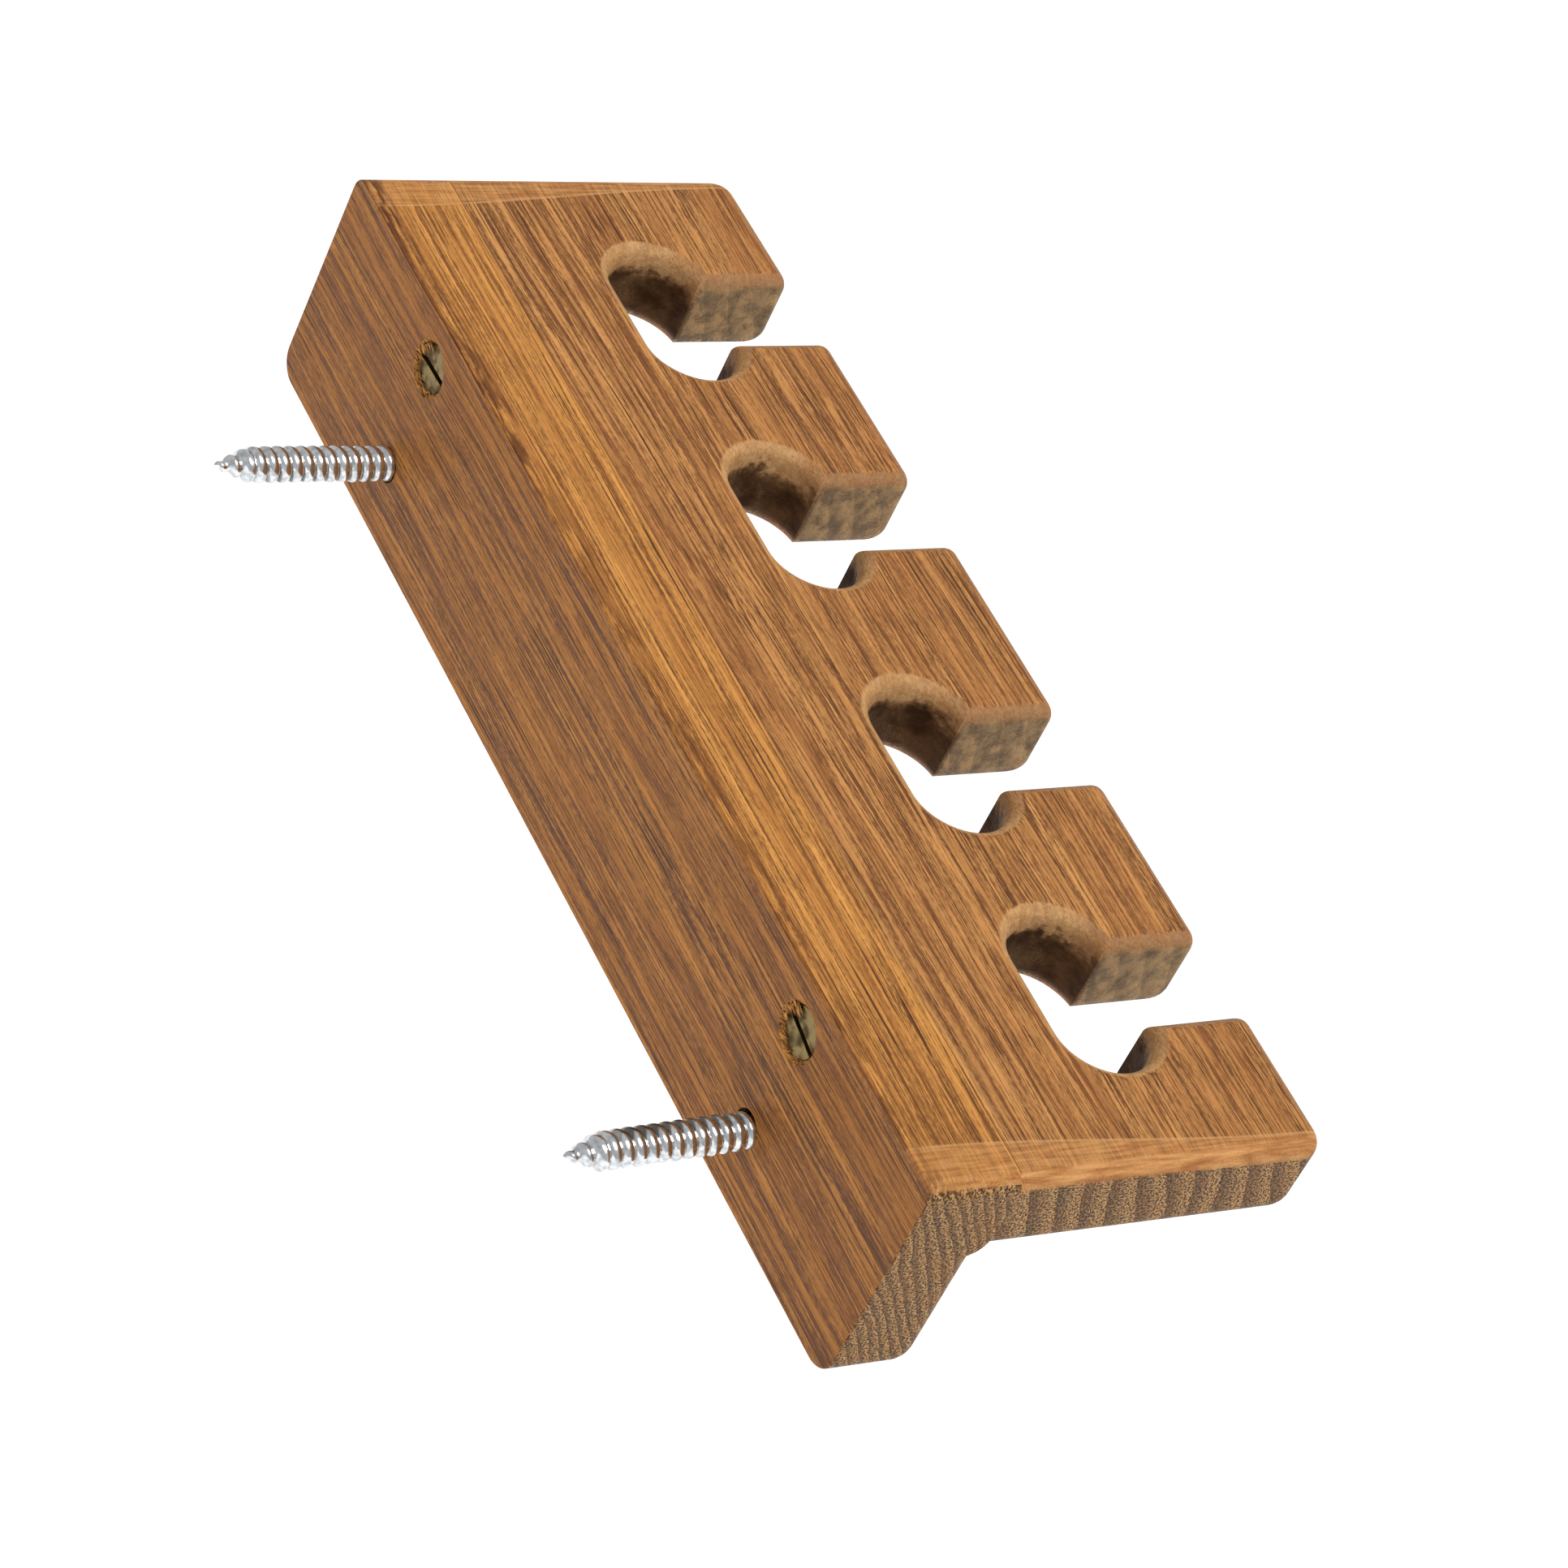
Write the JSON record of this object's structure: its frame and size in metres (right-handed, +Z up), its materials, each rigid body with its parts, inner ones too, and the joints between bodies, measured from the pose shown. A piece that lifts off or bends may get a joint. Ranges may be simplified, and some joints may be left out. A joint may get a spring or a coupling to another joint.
{
  "type": "wall cue rack",
  "caption": "L-shaped hardwood wall rack whose notched shelf holds cue shafts upright, with wall screws through its back board.",
  "frame": {"origin": "midway between the two wall screws, in the back board's rear face, which lies on the wall", "axes": "+Z up with the shelf level, +Y into the wall, the shelf reaching out towards -Y, +X along the rack"},
  "size_m": [0.254, 0.1202, 0.0494],
  "materials": {
    "hardwood": "open-grained teak-like hardwood, lightly oiled",
    "brass": "aged brass, satin",
    "zinc_plate": "bright zinc-plated steel"
  },
  "bodies": {
    "root": {"back_board": "hardwood", "cue_shelf": "hardwood", "joint_screw_left": "brass", "joint_screw_right": "brass", "wall_screw_left": "zinc_plate", "wall_screw_right": "zinc_plate"}
  },
  "joints": []
}
